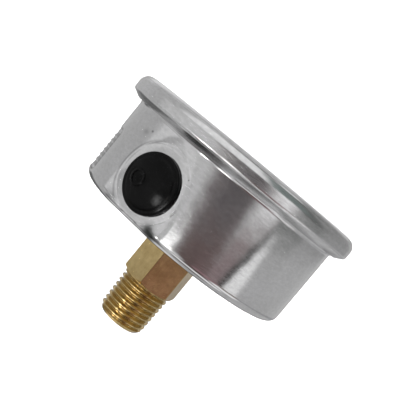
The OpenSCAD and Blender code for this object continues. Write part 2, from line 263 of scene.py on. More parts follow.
# ------------------------------------------------------------------ materials
def new_material(name, base, metallic, roughness):
    material = bpy.data.materials.new(name)
    material.use_nodes = True
    shader = material.node_tree.nodes["Principled BSDF"]
    shader.inputs["Base Color"].default_value = (*base, 1)
    shader.inputs["Metallic"].default_value = metallic
    shader.inputs["Roughness"].default_value = roughness
    return material, shader


class Paint:
    """Small helper that adds texture nodes to one material."""

    def __init__(self, name, base, metallic, roughness):
        self.material, self.shader = new_material(name, base, metallic, roughness)
        self.tree = self.material.node_tree
        self.place = self.tree.nodes.new("ShaderNodeTexCoord").outputs["Object"]
        self.height = None

    def node(self, kind, **values):
        made = self.tree.nodes.new(kind)
        for key, value in values.items():
            setattr(made, key, value)
        return made

    def link(self, a, b):
        self.tree.links.new(a, b)

    def noise(self, scale, stretch=(1, 1, 1), detail=4, rough=0.55):
        """Noise with features of scale metres, stretched along the row axes."""
        mapping = self.node("ShaderNodeMapping")
        mapping.inputs["Scale"].default_value = [1 / (scale * s) for s in stretch]
        self.link(self.place, mapping.inputs["Vector"])
        noise = self.node("ShaderNodeTexNoise")
        noise.inputs["Scale"].default_value = 1
        noise.inputs["Detail"].default_value = detail
        noise.inputs["Roughness"].default_value = rough
        self.link(mapping.outputs["Vector"], noise.inputs["Vector"])
        return noise.outputs["Fac"]

    def pits(self, spacing, share):
        """1 inside small scattered dots, 0 elsewhere."""
        cells = self.node("ShaderNodeTexVoronoi")
        cells.inputs["Scale"].default_value = 1 / spacing
        self.link(self.place, cells.inputs["Vector"])
        near = self.node("ShaderNodeMath", operation="LESS_THAN")
        self.link(cells.outputs["Distance"], near.inputs[0])
        near.inputs[1].default_value = share
        return near.outputs["Value"]

    def ramp(self, value, stops):
        ramp = self.node("ShaderNodeValToRGB")
        elements = ramp.color_ramp.elements
        while len(elements) < len(stops):
            elements.new(0.5)
        for element, (place, colour) in zip(elements, stops):
            element.position = place
            element.color = (*colour, 1)
        self.link(value, ramp.inputs["Fac"])
        return ramp.outputs["Color"]

    def colour(self, value, stops):
        self.link(self.ramp(value, stops), self.shader.inputs["Base Color"])

    def vary_roughness(self, value, low, high):
        span = self.node("ShaderNodeMapRange")
        span.inputs["From Min"].default_value = 0.3
        span.inputs["From Max"].default_value = 0.7
        span.inputs["To Min"].default_value = low
        span.inputs["To Max"].default_value = high
        self.link(value, span.inputs["Value"])
        self.link(span.outputs["Result"], self.shader.inputs["Roughness"])

    def bump(self, value, distance):
        """Adds a relief of a height in metres over the ones added before."""
        bump = self.node("ShaderNodeBump")
        bump.inputs["Distance"].default_value = distance
        bump.inputs["Strength"].default_value = 1.0
        self.link(value, bump.inputs["Height"])
        if self.height is not None:
            self.link(self.height, bump.inputs["Normal"])
        self.height = bump.outputs["Normal"]
        self.link(self.height, self.shader.inputs["Normal"])


PIT_COLOUR = (0.03, 0.03, 0.03, 1)
# the dark colour of the painted shade in the case's pressed lines, and of its stains
SHADE_AND_STAIN_COLOUR = (0.04, 0.042, 0.04, 1)


def steel_sheet(name, tone, low, high, stretch, wave):
    """Drawn sheet: slow waves, faint drawing lines, a few small pits, and a dark colour where the mesh has
    the attribute for it: painted shade in pressed lines, and stains.
    """
    paint = Paint(name, (tone, tone, tone * 1.01), 1.0, low)
    blotch = paint.noise(0.009, detail=5)
    plain = paint.ramp(blotch, [(0.3, (tone * 0.94,) * 3), (0.7, (tone * 1.03, tone * 1.03, tone * 1.04))])
    speckle = paint.noise(0.0007, (2, 1, 2), detail=4, rough=0.7)
    grain = paint.ramp(speckle, [(0.36, (0.93,) * 3), (0.64, (1.03,) * 3)])
    grained = paint.node("ShaderNodeMix", data_type="RGBA", blend_type="MULTIPLY")
    grained.inputs["Factor"].default_value = 1
    paint.link(plain, grained.inputs["A"])
    paint.link(grain, grained.inputs["B"])
    pitted = paint.node("ShaderNodeMix", data_type="RGBA")
    paint.link(paint.pits(0.006, 0.02), pitted.inputs["Factor"])
    paint.link(grained.outputs["Result"], pitted.inputs["A"])
    pitted.inputs["B"].default_value = PIT_COLOUR
    # where the mesh's attribute is high the colour goes dark: painted shade in pressed lines, and stains
    shade_and_stain_mask = paint.node("ShaderNodeAttribute", attribute_name="shade_and_stain")
    shaded_and_stained = paint.node("ShaderNodeMix", data_type="RGBA")
    paint.link(shade_and_stain_mask.outputs["Fac"], shaded_and_stained.inputs["Factor"])
    paint.link(pitted.outputs["Result"], shaded_and_stained.inputs["A"])
    shaded_and_stained.inputs["B"].default_value = SHADE_AND_STAIN_COLOUR
    paint.link(shaded_and_stained.outputs["Result"], paint.shader.inputs["Base Color"])
    lines = paint.noise(0.0003, stretch, detail=3, rough=0.7)
    paint.vary_roughness(lines, low, high)
    paint.bump(paint.noise(0.007, detail=1), wave)
    paint.bump(paint.noise(0.0016, detail=2), wave * 0.09)
    paint.bump(lines, 0.0000025)
    return paint.material


def brass_bar(name, base, dark, low, high, stretch):
    """Machined bar: uneven tarnish and fine tool lines."""
    paint = Paint(name, base, 1.0, low)
    paint.colour(paint.noise(0.003, detail=6, rough=0.65), [(0.34, dark), (0.6, base)])
    lines = paint.noise(0.00025, stretch, detail=3, rough=0.7)
    paint.vary_roughness(lines, low, high)
    paint.bump(lines, 0.000004)
    return paint.material


def rubber(name, tone, low, high, shine):
    """Black rubber with an uneven, slightly wavy skin."""
    paint = Paint(name, (tone, tone, tone * 1.1), 0.0, low)
    paint.shader.inputs["Specular IOR Level"].default_value = shine
    bloom = (tone * 1.5, tone * 1.5, tone * 1.6)
    paint.colour(paint.noise(0.002, detail=5), [(0.3, (tone * 0.6,) * 3), (0.7, bloom)])
    paint.vary_roughness(paint.noise(0.0025, detail=5), low, high)
    paint.bump(paint.noise(0.004, detail=3), 0.00006)
    paint.bump(paint.noise(0.0006, detail=3), 0.000002)
    return paint.material


def enamel(name, base, low, high, grain):
    """Painted or printed colour with a fine grain of the given size in metres."""
    paint = Paint(name, base, 0.0, low)
    paint.colour(paint.noise(0.002), [(0.3, tuple(c * 0.96 for c in base)), (0.7, base)])
    paint.vary_roughness(paint.noise(grain, detail=3), low, high)
    paint.bump(paint.noise(grain, detail=2), 0.000003)
    return paint.material


def window_glass():
    paint = Paint("window", (0.97, 0.99, 0.985), 0.0, 0.02)
    paint.shader.inputs["Transmission Weight"].default_value = 1.0
    paint.shader.inputs["IOR"].default_value = 1.49
    paint.vary_roughness(paint.noise(0.004, detail=6), 0.0, 0.03)
    return paint.material


AROUND = (6, 1, 6)
ALONG = (1, 30, 1)
MATERIALS = {
    "brushed_case": steel_sheet("case steel", 0.58, 0.09, 0.15, AROUND, 0.00005),
    "polished_bezel": steel_sheet("bezel steel", 0.6, 0.17, 0.27, AROUND, 0.00004),
    "window": window_glass(),
    "seal_rubber": rubber("seal rubber", 0.02, 0.5, 0.7, 0.4),
    "plug_rubber": rubber("plug rubber", 0.002, 0.11, 0.22, 0.1),
    "stem_brass": brass_bar("stem brass", (0.58, 0.445, 0.215), (0.46, 0.335, 0.15), 0.15, 0.24, ALONG),
    "inner_brass": brass_bar("inner brass", (0.68, 0.5, 0.24), (0.5, 0.35, 0.15), 0.22, 0.4, AROUND),
    "tube_bronze": brass_bar("tube bronze", (0.66, 0.4, 0.22), (0.45, 0.25, 0.13), 0.25, 0.4, AROUND),
    "movement_brass": brass_bar("movement brass", (0.75, 0.57, 0.28), (0.6, 0.44, 0.2), 0.2, 0.35, AROUND),
    "spring_bronze": brass_bar("spring bronze", (0.62, 0.42, 0.22), (0.5, 0.3, 0.15), 0.2, 0.3, AROUND),
    "pin_steel": steel_sheet("pin steel", 0.55, 0.2, 0.35, AROUND, 0.00001),
    "black_metal": enamel("black oxide", (0.02, 0.02, 0.021), 0.35, 0.5, 0.0003),
    "dial_white": enamel("dial white", (0.82, 0.82, 0.8), 0.45, 0.6, 0.0004),
    "pointer_black": enamel("pointer black", (0.014, 0.014, 0.015), 0.35, 0.5, 0.0003),
}


def dress_cad_nodes():
    """Gives the CAD nodes their materials; the ones that no piece below replaces are shown as they are."""
    for part in frame["record"]["subparts"]:
        node = frame["nodes"][part["node"]]
        node.data.materials.clear()
        node.data.materials.append(MATERIALS[part["material_slot"]])


dress_cad_nodes()

# ------------------------------------------------------------------ case
PANEL_A0, PANEL_A1 = math.radians(29), math.radians(51.5)
PANEL_Z0, PANEL_Z1 = BACK_Z + 1.9, BACK_Z + 14.2
PANEL_CORNER = 1.7
PANEL_DEPTH = 0.3
RIB_PITCH, RIB_W, RIB_H = 1.47, 0.9, 0.26
CREASE_R, CREASE_HALF, CREASE_DEPTH = 9.3, 0.22, 0.05
DENT_X, DENT_Z, DENT_DEPTH = -6.5, BACK_Z + 1.1, 0.3
DENT_SIDE_Y = 25
FLARE_LEN, FLARE_H = 0.75, 0.33
# x, half width, distance from the back, half length and strength of each dark patch beside the plug: three
# darker patches by the back corner, and a small stain and smudge higher up
CASE_DARK_PATCHES = ((-6.0, 1.5, 1.4, 1.6, 0.9), (-8.0, 1.3, 1.0, 0.9, 0.95), (7.2, 1.7, 1.3, 0.8, 0.5),
               (8.7, 0.3, 18.7, 0.22, 0.9), (10.4, 1.0, 17.7, 0.6, 0.3))


def pad_share(x, z):
    """1 on the flat pad pressed in round the fill hole, falling to 0 outside it."""
    d = math.hypot(x, max(z, BACK_Z + 1.8) - PLUG_Z)
    return 1 - smooth((d - PAD_FLAT_R) / (PAD_EDGE_R - PAD_FLAT_R))


def pad_crease(x, z):
    """The faint pressed line round the plug."""
    return CREASE_DEPTH * hill((math.hypot(x, z - PLUG_Z) - CREASE_R) / CREASE_HALF)


def pad_height(z):
    """The pad's flat, which rounds over at the back corner."""
    past = min(1.0, max(0.0, BACK_Z + 1.1 - z))
    return PAD_Y + (z - PLUG_Z) * math.tan(PAD_TILT) - 1 + math.sqrt(1 - past * past)


def corner_dent(x, z):
    """The small dent where the pad runs into the back corner."""
    return DENT_DEPTH * hill((x - DENT_X) / 1.3, (z - DENT_Z) / 1.1)


def panel_edge(angle, z):
    """Distance past the outline of the panel stamped in the side, negative inside it."""
    across = (PANEL_A1 - PANEL_A0) * CASE_R / 2 - PANEL_CORNER
    along = (PANEL_Z1 - PANEL_Z0) / 2 - PANEL_CORNER
    a = abs(angle - (PANEL_A0 + PANEL_A1) / 2) * CASE_R - across
    b = abs(z - (PANEL_Z0 + PANEL_Z1) / 2) - along
    return math.hypot(max(a, 0), max(b, 0)) + min(max(a, b), 0) - PANEL_CORNER


def rib_share(z):
    """1 on a rib of the panel, 0 between two."""
    beat = (z - PANEL_Z0 - 0.4) % RIB_PITCH
    return smooth(min(beat, RIB_W - beat) / 0.4)


def panel_depth(angle, z):
    """A shallow blank panel with a row of plain ribs."""
    inside = -panel_edge(angle, z)
    return PANEL_DEPTH * smooth(inside / 0.45) - RIB_H * rib_share(z) * smooth((inside - 0.9) / 0.4)


def case_grime(x, y, z, angle):
    """Painted shade along the pressed outline of the panel, between its ribs and along the pressed line
    beside the pad; darker patches by the back corner; and a few small stains.
    """
    if z < BACK_Z + 0.1 or z > BEZEL_Z0:
        return 0.0
    inside = -panel_edge(angle, z)
    # a dark line painted along the panel's outline: painted shade in the pressed groove
    shade_and_stain = 0.95 * hill((inside - 0.1) / 0.27)
    # painted shade between the panel's ribs
    shade_and_stain += 0.75 * (1 - rib_share(z)) * smooth((inside - 0.6) / 0.4)
    if y > PAD_SIDE_Y:
        d = math.hypot(x, z - PLUG_Z)
        # painted shade along the pressed line round the pad, on one side of the plug
        shade_and_stain += 0.4 * hill((d - 10) / 0.25) * smooth((x - 3) / 5)
        # darker patches by the back corner, and small stains higher up
        for place, wide, start, long, dark in CASE_DARK_PATCHES:
            shade_and_stain += dark * hill((x - place) / wide, (z - BACK_Z - start) / long)
    return min(1.0, shade_and_stain)


def neck_flare(z):
    """The barrel flares out a little where it enters the bezel's rear lip."""
    t = max(0.0, (z - BEZEL_Z0 + FLARE_LEN) / FLARE_LEN)
    return min(FLARE_H * t * t, FLARE_H) * (1 - smooth((z - BEZEL_Z0 - 0.3) / 0.9))


def case_point(r, z, angle, inner):
    """A point of the drawn cup, moved by what is pressed into its sheet there."""
    on_barrel = not inner and CASE_R - 0.1 < r < CASE_R + 0.1
    if on_barrel:
        r += neck_flare(z) - panel_depth(angle, z)
    x = r * math.cos(angle)
    y = r * math.sin(angle)
    share = pad_share(x, z)
    if y > PAD_SIDE_Y and share > 0 and z < FLANGE_Z:
        flat = pad_height(z) - (CASE_WALL if inner else 0)
        y += share * (soft_min(y, flat, 0.5) - y)
    if y > DENT_SIDE_Y and r > CASE_R - CORNER_R:
        y -= corner_dent(x, z) + pad_crease(x, z)
    return (x, y, z)


def case_angles():
    """Angles of the case mesh, in finer steps over the panel and the pad."""
    coarse, margin = 0.035, 0.02
    stretches = ((PANEL_A0 - margin, coarse), (PANEL_A1 + margin, 0.0075), (PAD_A0, 0.02),
                 (PAD_A1, 0.0095), (TAU, coarse))
    angles, start = [], 0
    for end, step in stretches:
        angles += steps(start, end, step)[:-1]
        start = end
    return angles


def cut_hole(piece, radius):
    """Cuts a round hole through the pad."""
    count = 96
    depth, above = -3, 1
    circle = [(radius * math.cos(a), radius * math.sin(a)) for a in turns(count)]
    points = [on_pad(x, height, along) for height in (depth, above) for x, along in circle]
    faces = ring_faces(2, count, False)
    faces += [tuple(range(count)), tuple(range(2 * count - 1, count - 1, -1))]
    cutter = add_mesh("cutter", points, faces, piece.data.materials[0])
    modifier = piece.modifiers.new("hole", "BOOLEAN")
    modifier.object = cutter
    modifier.operation = "DIFFERENCE"
    modifier.solver = "EXACT"
    cut = bpy.data.meshes.new_from_object(piece.evaluated_get(bpy.context.evaluated_depsgraph_get()))
    piece.modifiers.remove(modifier)
    piece.data = cut
    cut.set_sharp_from_angle(angle=math.radians(50))
    bpy.data.objects.remove(cutter)


def case_outside():
    """Outline of the outer skin, from the rim to the hole for the stem."""
    corner = CASE_R - CORNER_R
    outer = [(RIM_R - 0.1, RIM_Z), (RIM_R, RIM_Z - 0.1), (RIM_R, RIM_Z - 0.6), (RIM_R - 0.1, RIM_Z - 0.7)]
    outer += [(r, RIM_Z - 0.7) for r in (32.4, 31.8)]
    outer += arc(CASE_R + 0.9, RIM_Z - 1.6, 0.9, 90, 180, 6)
    outer += [(CASE_R, z) for z in steps(RIM_Z - 1.9, BEZEL_Z0 - 0.8, 0.1)]
    outer += [(CASE_R, z) for z in steps(BEZEL_Z0 - 1, BACK_Z + CORNER_R + 0.16, 0.16)]
    outer += arc(corner, BACK_Z + CORNER_R, CORNER_R, 0, -90, 14)
    outer += [(r, BACK_Z) for r in steps(corner - 0.8, NECK_R + 0.4, 1.6)]
    outer += [(STEM_HOLE_R, BACK_Z)]
    return outer


def case_inside():
    """Outline of the inner skin, from the hole for the stem to the rim."""
    corner = CASE_R - CORNER_R
    inner = [(STEM_HOLE_R, BACK_Z + CASE_WALL)]
    inner += [(r, BACK_Z + CASE_WALL) for r in steps(NECK_R + 2, corner - 0.8, 2)]
    inner += arc(corner, BACK_Z + CORNER_R, CORNER_R - CASE_WALL, -90, 0, 8)
    inner += [(CASE_R - CASE_WALL, z) for z in steps(BACK_Z + CORNER_R + 0.5, RIM_Z - 0.8, 0.7)]
    inner += [(CASE_R - CASE_WALL, RIM_Z)]
    return inner


def make_case():
    """The drawn cup, with its pad, dent and panel, an attribute of painted shade and stains, and its fill
    hole.
    """
    outer, inner = case_outside(), case_inside()
    angles = case_angles()
    points = [case_point(r, z, a, False) for r, z in outer for a in angles]
    points += [case_point(r, z, a, True) for r, z in inner for a in angles]
    faces = ring_faces(len(outer) + len(inner), len(angles), True)
    piece = add_mesh("case_shell", points, faces, MATERIALS["brushed_case"], sharp=50)
    outer_points = points[:len(outer) * len(angles)]
    # how dark the outer skin is painted at each point: painted shade in its pressed lines, and stains
    shade_and_stain = [case_grime(*point, angles[i % len(angles)]) for i, point in enumerate(outer_points)]
    shade_and_stain += [0.0] * (len(points) - len(shade_and_stain))
    piece.data.attributes.new("shade_and_stain", "FLOAT", "POINT").data.foreach_set("value", shade_and_stain)
    cut_hole(piece, PLUG_HOLE_R)
    finish_piece(piece, "root", "brushed_case", "case")


make_case()


# ------------------------------------------------------------------ bezel
def make_bezel():
    """The spun ring: rear lip, cone, heel, side with a faint crimp line, and rounded front."""
    wall, heel, front = 0.6, 0.9, 2.6
    lip = CASE_R + 0.35
    shoulder = BEZEL_R - 2.35
    heel_r, heel_z = BEZEL_R - heel, BEZEL_Z0 + 1.85
    front_r, front_z = BEZEL_R - front, BEZEL_Z1 - front
    window = 28.6
    outer = arc(lip + 0.2, BEZEL_Z0 + 0.2, 0.2, 180, 270, 4)
    outer += [(r, BEZEL_Z0) for r in (lip + 0.4, shoulder - 0.15)]
    outer += [(shoulder + 0.1, BEZEL_Z0 + 0.08), (shoulder + 0.5, BEZEL_Z0 + 0.3)]
    outer += arc(heel_r, heel_z, heel, -52, 0, 10)
    outer += [(BEZEL_R, z) for z in steps(heel_z + 0.2, front_z, 0.2)]
    outer += arc(front_r, front_z, front, 4, 34, 10)
    outer += arc(front_r, front_z, front - 0.09, 36.5, 38.5, 1)
    outer += arc(front_r, front_z, front, 41, 90, 14)
    outer += [(front_r - 1, BEZEL_Z1), (window + 0.5, BEZEL_Z1 - 0.02)]
    outer += arc(window + 0.3, BEZEL_Z1 - 0.3, 0.3, 90, 180, 5)
    inner = [(window, BEZEL_Z1 - wall)]
    inner += arc(front_r, front_z, front - wall, 90, 0, 8)
    inner += arc(heel_r, heel_z, heel - wall, 0, -50, 3)
    inner += [(shoulder - 0.15, BEZEL_Z0 + wall), (lip, BEZEL_Z0 + wall)]
    piece = ring_piece("bezel_crimped", outer + inner, MATERIALS["polished_bezel"], 256)
    finish_piece(piece, "root", "polished_bezel", "bezel_ring")


make_bezel()


# ------------------------------------------------------------------ window
def disc_piece(name, profile, material, count=160, sharp=35):
    """A solid of revolution whose outline starts and ends on the axis."""
    inner = profile[1:-1]
    points = lathe_points(inner, turns(count))
    faces = ring_faces(len(inner), count, False)
    close_on_axis(points, faces, len(inner), count, (0, 0, profile[0][1]), (0, 0, profile[-1][1]))
    return add_mesh(name, points, faces, material, sharp)


def make_window():
    c = 0.15
    outline = [(0, LENS_Z1), (LENS_R - c, LENS_Z1), (LENS_R, LENS_Z1 - c), (LENS_R, LENS_Z0 + c),
               (LENS_R - c, LENS_Z0), (0, LENS_Z0)]
    piece = disc_piece("window_pane", outline, MATERIALS["window"])
    finish_piece(piece, "root", "window", "lens")


make_window()


# ------------------------------------------------------------------ fill plug
def dome_height(d):
    """Height of the plug's top above the pad at distance d from its axis."""
    radius = (PLUG_R * PLUG_R + DOME_H * DOME_H) / (2 * DOME_H)
    return PLUG_TOP - radius + math.sqrt(radius * radius - d * d)


def plug_profile():
    """Outline from the domed top, with its faint groove, over the rim and down the hollow shank."""
    groove_r, groove_half, groove_depth = 6.3, 0.22, 0.07
    top = []
    for r in steps(0.4, PLUG_R - 0.75, 0.18):
        top.append((r, dome_height(r) - groove_depth * hill((r - groove_r) / groove_half)))
    edge = PLUG_R - 0.55
    rim = arc(edge, dome_height(edge) - 0.56, 0.55, 80, 0, 8)
    under = [(PLUG_R, PLUG_FOOT + 0.15), (PLUG_R - 0.15, PLUG_FOOT)]
    shank_r = PLUG_HOLE_R - 0.06
    shank = [(shank_r + 0.15, PLUG_FOOT), (shank_r, PLUG_FOOT - 0.1), (shank_r, PLUG_END + 0.3)]
    shank += [(shank_r - 0.3, PLUG_END), (shank_r - 1.3, PLUG_END), (shank_r - 1.55, PLUG_END + 0.2)]
    shank += [(shank_r - 1.55, PLUG_END + 2.9), (0.5, PLUG_END + PLUG_HOLLOW)]
    return top + rim + under + shank


def make_plug():
    """The rubber plug, turned about the middle of the pad."""
    count = 128
    profile = plug_profile()
    points = [on_pad(r * math.cos(a), h, r * math.sin(a)) for r, h in profile for a in turns(count)]
    faces = ring_faces(len(profile), count, False)
    start, end = on_pad(0, dome_height(0), 0), on_pad(0, PLUG_END + PLUG_HOLLOW, 0)
    close_on_axis(points, faces, len(profile), count, start, end)
    piece = add_mesh("plug_moulded", points, faces, MATERIALS["plug_rubber"])
    finish_piece(piece, "fill_plug", "plug_rubber", "fill_plug")


def make_plug_mark():
    """The small raised ring that the mould leaves on the plug's top."""
    middle_x, middle_along = 2.9, -0.6
    ring_r, half, height, sunk = 1.8, 0.36, 0.3, 0.02
    around, across = 72, 8
    points = []
    for a in turns(around):
        for b in turns(across):
            r = ring_r + half * math.cos(b)
            x = middle_x + r * math.cos(a)
            along = middle_along + r * math.sin(a)
            points.append(on_pad(x, dome_height(math.hypot(x, along)) + height * math.sin(b) - sunk, along))
    faces = ring_faces(around, across, True)
    piece = add_mesh("plug_mould_ring", points, faces, MATERIALS["plug_rubber"])
    finish_piece(piece, "fill_plug", "plug_rubber")


make_plug()
make_plug_mark()


# ------------------------------------------------------------------ stem
def hex_radius(angle):
    """Radius of the hexagon at an angle, with its corners eased."""
    sixth = math.pi / 3
    off = (angle - HEX_TURN) % sixth - sixth / 2
    corner = HEX_AF / 2 / math.cos(sixth / 2)
    return soft_min(HEX_AF / 2 / math.cos(off), corner - 0.04, 0.06)


def thread_radius(angle, z):
    """Tapered right-hand thread with flat-topped ridges, cut by the end chamfer."""
    crest = THREAD_R - (THREAD_LEN - z) / 32
    phase = (z / THREAD_PITCH - angle / TAU) % 1.0
    ridge = min(1.0, max(0.0, (abs(phase - 0.5) * 2 - 0.08) / 0.74))
    fade = smooth((THREAD_LEN - 0.15 - z) / 0.45)
    r = crest - THREAD_DEPTH * (1 - ridge) * fade - 0.25 * (1 - fade)
    end_chamfer = 5.55 + z * 0.8
    return soft_min(r, end_chamfer, 0.15)


def stem_rows():
    """Kind, radius and height of each row of points, up the outside and back down the passage."""
    chamfer = 0.3
    rows = [("ring", INLET_R + 0.4, 0.0), ("ring", 4.2, 0.0)]
    rows += [("thread", 0, z) for z in steps(0.0, THREAD_LEN - 0.02, 0.075)]
    rows += [("ring", THREAD_R + 0.1, THREAD_LEN)]
    face = HEX_AF / 2 + 0.05
    slope = math.tan(math.radians(30))
    for z in steps(0, 0.9, 0.06) + steps(1.2, HEX_LEN - 1.2, 0.6) + steps(HEX_LEN - 0.9, HEX_LEN, 0.06):
        rows += [("hex", face + min(z, HEX_LEN - z) / slope, THREAD_LEN + z)]
    outside = [(GROOVE_R, BACK_Z), (GROOVE_R, GROOVE_Z), (NECK_R, GROOVE_Z), (NECK_R, NECK_Z1)]
    outside += [(SPIGOT_R, NECK_Z1), (SPIGOT_R, STEM_Z1 - 0.2), (SPIGOT_R - 0.2, STEM_Z1)]
    passage = [(PASSAGE_R, STEM_Z1), (PASSAGE_R, RESTRICTOR_Z1), (RESTRICTOR_R, RESTRICTOR_Z1)]
    passage += [(RESTRICTOR_R, INLET_DEPTH), (INLET_R, INLET_DEPTH), (INLET_R, chamfer)]
    rows += [("ring", r, z) for r, z in outside + passage]
    return rows


def stem_radius(kind, r, z, angle):
    """Radius of a row at an angle: a ridge, a side of the hexagon, or plain round."""
    if kind == "thread":
        return thread_radius(angle, z)
    if kind == "hex":
        return min(hex_radius(angle), r)
    return r


def make_stem():
    """The threaded stem with its hexagon, open from the inlet to the spigot's end."""
    count = 288
    angles = turns(count)
    rows = stem_rows()
    points = []
    for kind, r, z in rows:
        for a in angles:
            r_here = stem_radius(kind, r, z, a)
            points.append((r_here * math.cos(a), r_here * math.sin(a), z))
    faces = ring_faces(len(rows), count, True)
    piece = add_mesh("stem_threaded", points, faces, MATERIALS["stem_brass"], sharp=28)
    finish_piece(piece, "root", "stem_brass", "stem")


make_stem()


# ------------------------------------------------------------------ pressure tube
TUBE_R = 20.25
TUBE_Z = 33.3
TUBE_START = math.radians(-12)
TUBE_SWEEP = math.radians(282)
TUBE_HALF_DEPTH = 3


def make_tube():
    """The flattened tube, bent round a circle."""
    around, along = 40, 180
    points = []
    for i in range(along + 1):
        a = TUBE_START + TUBE_SWEEP * i / along
        for j in range(around):
            b = TAU * j / around
            c, s = math.cos(b), math.sin(b)
            r = TUBE_R + math.copysign(abs(c) ** 0.55, c)
            z = TUBE_Z + TUBE_HALF_DEPTH * math.copysign(abs(s) ** 0.8, s)
            points.append((r * math.cos(a), r * math.sin(a), z))
    faces = ring_faces(along + 1, around, False)
    faces += [tuple(range(around)), tuple(range((along + 1) * around - 1, along * around - 1, -1))]
    piece = add_mesh("tube_flattened", points, faces, MATERIALS["tube_bronze"])
    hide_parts("bourdon_tube")
    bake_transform(piece)


make_tube()

# ------------------------------------------------------------------ dial print
ZERO = math.radians(225)
SWEEP = math.radians(270)
SCALE_TOP = 100
SCALE_R = 24.6
# every how many units, inner radius and half width of the marks, the long ones first
SCALE_MARKS = ((20, 20.2, 0.3), (10, 21.2, 0.2), (2, 22.8, 0.09))
NUMBER_R, NUMBER_SIZE = 16.6, 4.6
# heights over the dial: bottom and top of the scale's ink, and middle and half height of the figures
INK_LOW, INK_HIGH = -0.01, 0.025
TEXT_LIFT, TEXT_HALF = 0.01, 0.0175


def scale_angle(value):
    """Where a value lies on the scale, as an angle from the dial's right."""
    return ZERO - SWEEP * value / SCALE_TOP


def ink_box(points, faces, x0, x1, half, angle, z0, z1):
    """A small printed bar from radius x0 to x1."""
    start = len(points)
    c, s = math.cos(angle), math.sin(angle)
    for z in (z0, z1):
        for x, y in ((x0, -half), (x1, -half), (x1, half), (x0, half)):
            points.append((x * c - y * s, x * s + y * c, z))
    faces += [tuple(start + k for k in f) for f in
              ((3, 2, 1, 0), (4, 5, 6, 7), (0, 1, 5, 4), (1, 2, 6, 5), (2, 3, 7, 6), (3, 0, 4, 7))]


def ink_arc(points, faces, r0, r1, a0, a1, z0, z1, n=150):
    """A printed line round part of the dial, between radii r0 and r1."""
    start = len(points)
    for i in range(n + 1):
        a = a0 + (a1 - a0) * i / n
        for r, z in ((r0, z0), (r1, z0), (r1, z1), (r0, z1)):
            points.append((r * math.cos(a), r * math.sin(a), z))
    for i in range(n):
        for k in range(4):
            a = start + 4 * i + k
            b = start + 4 * i + (k + 1) % 4
            faces.append((a, b, b + 4, a + 4))
    faces.append((start + 3, start + 2, start + 1, start))
    end = start + 4 * n
    faces.append((end, end + 1, end + 2, end + 3))


def make_scale():
    """Marks every two units, and the line that joins them, as one piece of ink."""
    z0, z1 = DIAL_Z1 + INK_LOW, DIAL_Z1 + INK_HIGH
    points, faces = [], []
    for value in range(0, SCALE_TOP + 1, 2):
        r0, half = next((r, half) for units, r, half in SCALE_MARKS if value % units == 0)
        ink_box(points, faces, r0, SCALE_R, half, scale_angle(value), z0, z1)
    ink_arc(points, faces, SCALE_R, SCALE_R + 0.25, scale_angle(SCALE_TOP), ZERO, z0, z1)
    piece = add_mesh("dial_scale", points, faces, MATERIALS["pointer_black"], sharp=30)
    finish_piece(piece, "root", "pointer_black")


def print_text(name, words, x, y, size):
    """Raised words on the dial, made from Blender's own plain font."""
    curve = bpy.data.curves.new(name, "FONT")
    curve.body = words
    curve.size = size * MM
    curve.align_x = "CENTER"
    curve.align_y = "CENTER"
    curve.extrude = TEXT_HALF * MM
    curve.resolution_u = 6
    made = bpy.data.objects.new(name, curve)
    bpy.context.scene.collection.objects.link(made)
    place = row(x, y, DIAL_Z1 + TEXT_LIFT)
    made.matrix_world = Matrix.Translation(place) @ Matrix.Rotation(math.pi / 2, 4, "X")
    bpy.context.view_layer.update()
    mesh = bpy.data.meshes.new_from_object(made.evaluated_get(bpy.context.evaluated_depsgraph_get()))
    mesh.transform(made.matrix_world)
    bpy.data.objects.remove(made)
    mesh.materials.clear()
    mesh.materials.append(MATERIALS["pointer_black"])
    piece = bpy.data.objects.new(name, mesh)
    bpy.context.scene.collection.objects.link(piece)
    finish_piece(piece, "root", "pointer_black")


def make_numbers():
    """Generic figures, and the unit below the middle."""
    for value in range(0, SCALE_TOP + 1, 20):
        angle = scale_angle(value)
        x, y = NUMBER_R * math.cos(angle), NUMBER_R * math.sin(angle)
        print_text(f"dial_number_{value}", str(value), x, y, NUMBER_SIZE)
    print_text("dial_unit", "psi", 0, -9.5, 3.4)


make_scale()
make_numbers()


# ------------------------------------------------------------------ pointer
def bevel(piece, width):
    modifier = piece.modifiers.new("edges", "BEVEL")
    modifier.width = width * MM
    modifier.segments = 2
    modifier.limit_method = "ANGLE"
    modifier.angle_limit = math.radians(40)


def make_pointer():
    """A tapered blade from a round boss, with a disc on its tail."""
    length, tip, arm, root = 21.5, 0.12, 0.62, 1.35
    boss_r, tail_x, tail_r = 2.95, -8, 2
    outline = [(length, -tip), (length, tip), (length - 5, arm), (3.0, root)]
    outline += arc(0, 0, boss_r, 40, 150, 11)
    outline += [(-3.4, arm), (-6.2, arm)]
    outline += arc(tail_x, 0, tail_r, 20, 340, 16)
    outline += [(-6.2, -arm), (-3.4, -arm)]
    outline += arc(0, 0, boss_r, 210, 320, 11)
    outline += [(3.0, -root)]
    c, s = math.cos(ZERO), math.sin(ZERO)
    flat = [(x * c - y * s, x * s + y * c) for x, y in outline]
    n = len(flat)
    points = [(x, y, POINTER_Z0) for x, y in flat] + [(x, y, POINTER_Z1) for x, y in flat]
    faces = [tuple(range(n)), tuple(range(2 * n - 1, n - 1, -1))]
    faces += [(i, i + n, (i + 1) % n + n, (i + 1) % n) for i in range(n)]
    piece = add_mesh("pointer_blade", points, faces, MATERIALS["pointer_black"], sharp=30)
    bevel(piece, 0.05)
    finish_piece(piece, "pointer_staff", "pointer_black", "pointer")


